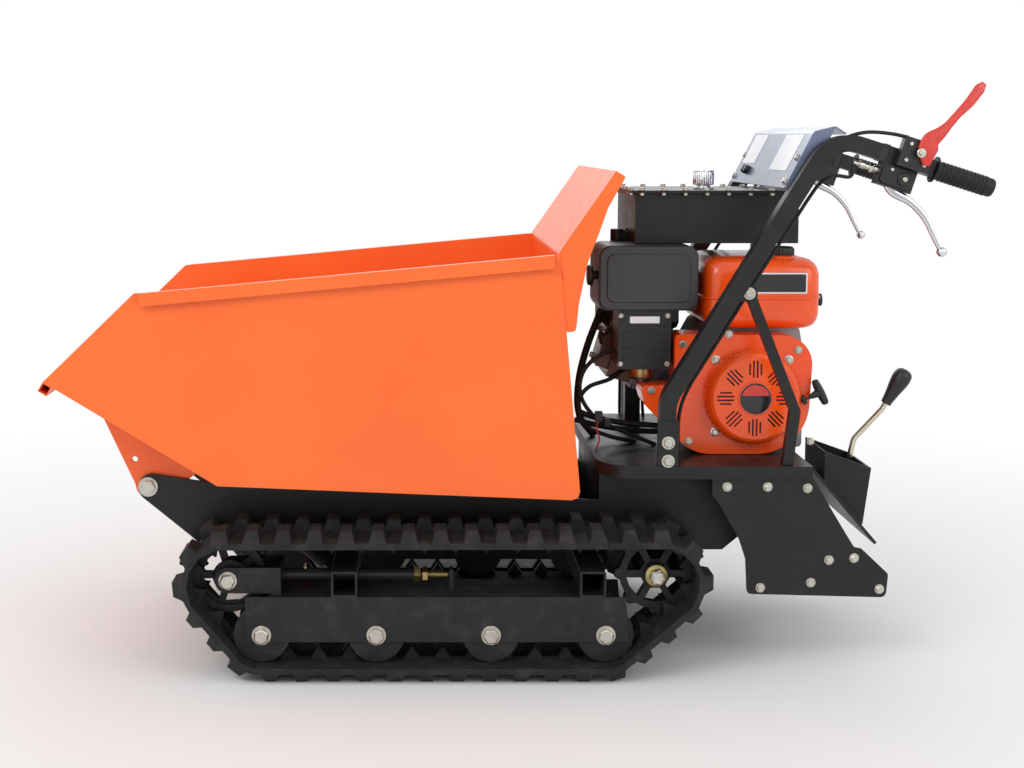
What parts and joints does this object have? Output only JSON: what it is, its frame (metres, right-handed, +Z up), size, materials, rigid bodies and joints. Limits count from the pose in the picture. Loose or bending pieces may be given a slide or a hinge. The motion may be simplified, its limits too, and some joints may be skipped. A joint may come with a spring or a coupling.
{
  "type": "walk-behind tracked mini dumper",
  "caption": "Walk-behind tracked carrier with a front-tipping steel skip, rubber tracks, an air-cooled engine on the rear deck and handlebars with levers",
  "frame": {"origin": "on the ground under the middle of the outline", "axes": "+X forward towards the tip of the skip, +Y to the machine's left, +Z up"},
  "size_m": [1.8414, 0.75, 1.1495],
  "materials": {
    "black_paint": "semi-gloss powder coat",
    "orange_paint": "gloss powder coat",
    "engine_orange": "gloss paint",
    "track_rubber": "moulded rubber",
    "grip_rubber": "matt",
    "bare_steel": "zinc plated",
    "chrome": "polished",
    "cast_alloy": "die cast",
    "engine_black": "satin",
    "black_plastic": "moulded",
    "red_plastic": "moulded"
  },
  "bodies": {
    "root": {"air_filter": "black_plastic", "belt_guard": "engine_black", "carburettor": "black_plastic", "chassis_frame": "black_paint", "clutch_lever": "red_plastic", "console": "black_paint", "cross_tubes": "black_paint", "cylinder_head": "cast_alloy", "engine_block": "cast_alloy", "engine_deck": "black_paint", "fan_housing": "engine_orange", "fuel_cap": "black_plastic", "fuel_tank": "engine_orange", "gear_knob": "black_plastic", "gear_lever": "bare_steel", "grips": "grip_rubber", "handlebar_brace_left": "black_paint", "handlebar_brace_right": "black_paint", "handlebar_left": "black_paint", "handlebar_right": "black_paint", "hydraulic_tank": "black_paint", "idler_left": "black_paint", "idler_right": "black_paint", "lever_box": "black_paint", "lever_brackets": "black_plastic", "muffler": "engine_black", "pivot_pin": "bare_steel", "rear_panel_left": "black_paint", "rear_panel_right": "black_paint", "recoil_cover": "engine_orange", "roller_frame_left": "black_paint", "roller_frame_right": "black_paint", "rollers_left": "black_paint", "rollers_right": "black_paint", "skip_buffers": "grip_rubber", "sprocket_left": "black_paint", "sprocket_right": "black_paint", "starter_grip": "black_plastic", "steering_levers": "chrome", "tank_cap": "chrome", "tank_posts": "black_paint", "tensioner_left": "black_paint", "tensioner_right": "black_paint", "track_left": "track_rubber", "track_right": "track_rubber", "transmission": "cast_alloy"},
    "tipping_skip": {"skip_brackets": "orange_paint", "skip_floor": "orange_paint", "skip_lip": "orange_paint", "skip_rear_wall": "orange_paint", "skip_side_left": "orange_paint", "skip_side_right": "orange_paint"},
    "barrel": {"cylinder_barrel": "black_paint"},
    "piston": {"cylinder_rod": "chrome"}
  },
  "joints": [
    {"name": "skip_tip", "type": "hinge", "parent": "root", "child": "tipping_skip", "pos_m": [0.738, 0, 0.341], "axis": [0, 1, 0], "range_deg": [0, 70]},
    {"name": "cylinder_swing", "type": "hinge", "parent": "root", "child": "barrel", "pos_m": [0.36, 0, 0.12], "axis": [0, 1, 0], "range_deg": [-2.02, 0]},
    {"name": "rod_slide", "type": "slide", "parent": "barrel", "child": "piston", "axis": [0.7809, 0, 0.6247], "range_m": [0, 0.10171]}
  ],
  "couplings": [
    {"joint": "cylinder_swing", "follows": "skip_tip", "ratio": -0.028253},
    {"joint": "rod_slide", "follows": "skip_tip", "m_per_rad": 0.082427}
  ]
}
